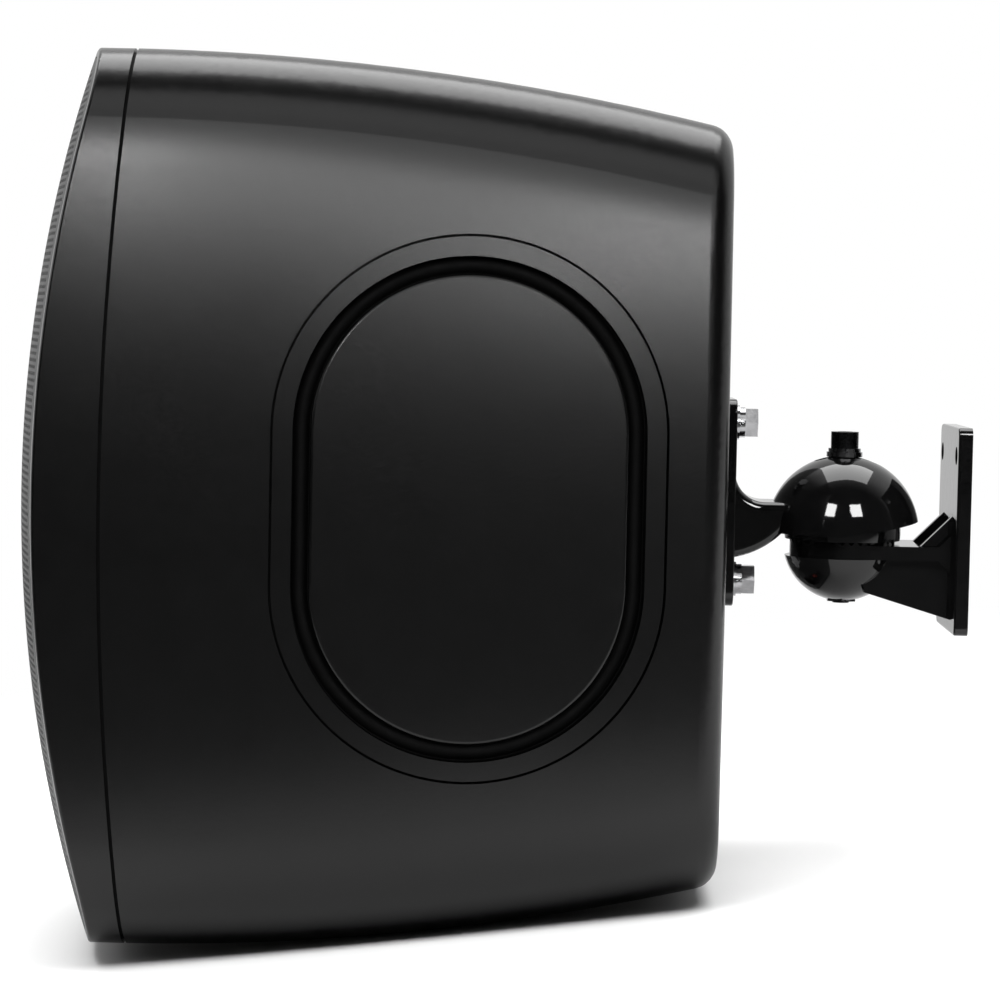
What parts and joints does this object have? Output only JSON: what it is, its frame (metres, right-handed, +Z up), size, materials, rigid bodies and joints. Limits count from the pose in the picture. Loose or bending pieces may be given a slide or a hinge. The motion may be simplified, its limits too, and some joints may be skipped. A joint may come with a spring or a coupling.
{
  "type": "outdoor patio speaker",
  "caption": "Outdoor patio speaker: tapered moulded cabinet with a bowed perforated grille, a racetrack bass radiator in its side and a clamped ball-joint wall bracket that pans and tilts.",
  "frame": {"origin": "centre of the wall plate's back face, on the wall", "axes": "+Y into the wall, so the grille faces -Y; +Z up; +X towards the side with the bass radiator"},
  "size_m": [0.2001, 0.3379, 0.308],
  "materials": {
    "cabinet_black": "satin black moulded, weatherproof",
    "bezel_black": "satin black moulded",
    "baffle_black": "matte black moulded",
    "gasket_rubber": "soft black",
    "grille_paint": "powder-coated perforated sheet",
    "screw_steel": "zinc plated",
    "bolt_black": "black-oxide steel",
    "basket_black": "stoved black",
    "surround_rubber": "butyl rubber",
    "cone_plastic": "mineral-filled polypropylene",
    "spider_cloth": "doped corrugated cloth",
    "coil_copper": "enamelled copper wire",
    "motor_steel": "zinc plated",
    "ferrite": "sintered ferrite",
    "tweeter_black": "satin black",
    "dome_metal": "anodised thin dome",
    "radiator_black": "satin black",
    "board": "solder-masked laminate",
    "capacitor_film": "wrapped film",
    "resistor_ceramic": "cast ceramic",
    "terminal_black": "matte black moulded",
    "terminal_brass": "gilt brass",
    "knob_red": "fluted red",
    "knob_black": "fluted black",
    "bracket_black": "gloss black powder coat"
  },
  "bodies": {
    "wall_mount": {"wall_bracket": "bracket_black", "clamp_screw": "bolt_black", "lock_washer": "screw_steel", "saddle_washer": "screw_steel", "clamp_nut": "screw_steel"},
    "swivel": {"pivot_ball": "bracket_black"},
    "speaker": {"cabinet": "cabinet_black", "front_baffle": "baffle_black", "front_bezel": "bezel_black", "baffle_gasket": "gasket_rubber", "grille": "grille_paint", "baffle_screws": "screw_steel", "woofer_frame": "basket_black", "woofer_surround": "surround_rubber", "woofer_spider": "spider_cloth", "woofer_top_plate": "motor_steel", "woofer_magnet": "ferrite", "woofer_back_plate": "motor_steel", "woofer_screws": "screw_steel", "tweeter_faceplate": "tweeter_black", "tweeter_surround": "surround_rubber", "tweeter_motor": "motor_steel", "tweeter_screws": "screw_steel", "radiator_frame": "radiator_black", "radiator_surround": "surround_rubber", "crossover_board": "board", "crossover_inductors": "coil_copper", "crossover_capacitors": "capacitor_film", "crossover_resistor": "resistor_ceramic", "board_screws": "screw_steel", "terminal_plate": "terminal_black", "terminal_screws": "screw_steel", "terminal_posts": "terminal_brass", "terminal_nuts": "terminal_brass", "threaded_inserts": "terminal_brass", "mounting_bolts": "screw_steel", "spring_washers": "screw_steel", "flat_washers": "screw_steel", "speaker_arm": "bracket_black"},
    "woofer_diaphragm": {"woofer_cone": "cone_plastic", "woofer_dust_cap": "cone_plastic", "woofer_voice_coil": "coil_copper"},
    "tweeter_diaphragm": {"tweeter_dome": "dome_metal"},
    "radiator": {"radiator_diaphragm": "radiator_black"},
    "knob_red": {"terminal_knob_red": "knob_red"},
    "knob_black": {"terminal_knob_black": "knob_black"}
  },
  "joints": [
    {"name": "pan", "type": "hinge", "parent": "wall_mount", "child": "swivel", "pos_m": [0, -0.043, -0.002], "axis": [0, 0, 1], "range_deg": [-45, 45]},
    {"name": "tilt", "type": "hinge", "parent": "swivel", "child": "speaker", "pos_m": [0, -0.043, -0.002], "axis": [1, 0, 0], "range_deg": [-15, 20]},
    {"name": "woofer_travel", "type": "slide", "parent": "speaker", "child": "woofer_diaphragm", "axis": [0, -1, 0], "range_m": [-0.004, 0.004], "stiffness_N_per_m": 1200, "deforming": ["woofer_surround", "woofer_spider"]},
    {"name": "tweeter_travel", "type": "slide", "parent": "speaker", "child": "tweeter_diaphragm", "axis": [0, -1, 0], "range_m": [-0.0004, 0.0004], "stiffness_N_per_m": 400, "deforming": ["tweeter_surround"]},
    {"name": "radiator_travel", "type": "slide", "parent": "speaker", "child": "radiator", "axis": [0.9962, 0.0877, 0], "range_m": [-0.005, 0.005], "stiffness_N_per_m": 600, "deforming": ["radiator_surround"]},
    {"name": "red_knob_turn", "type": "hinge", "parent": "speaker", "child": "knob_red", "pos_m": [0.00953, -0.1015, -0.0738], "axis": [0, 1, 0], "continuous": true},
    {"name": "black_knob_turn", "type": "hinge", "parent": "speaker", "child": "knob_black", "pos_m": [-0.00953, -0.1015, -0.0738], "axis": [0, 1, 0], "continuous": true}
  ]
}
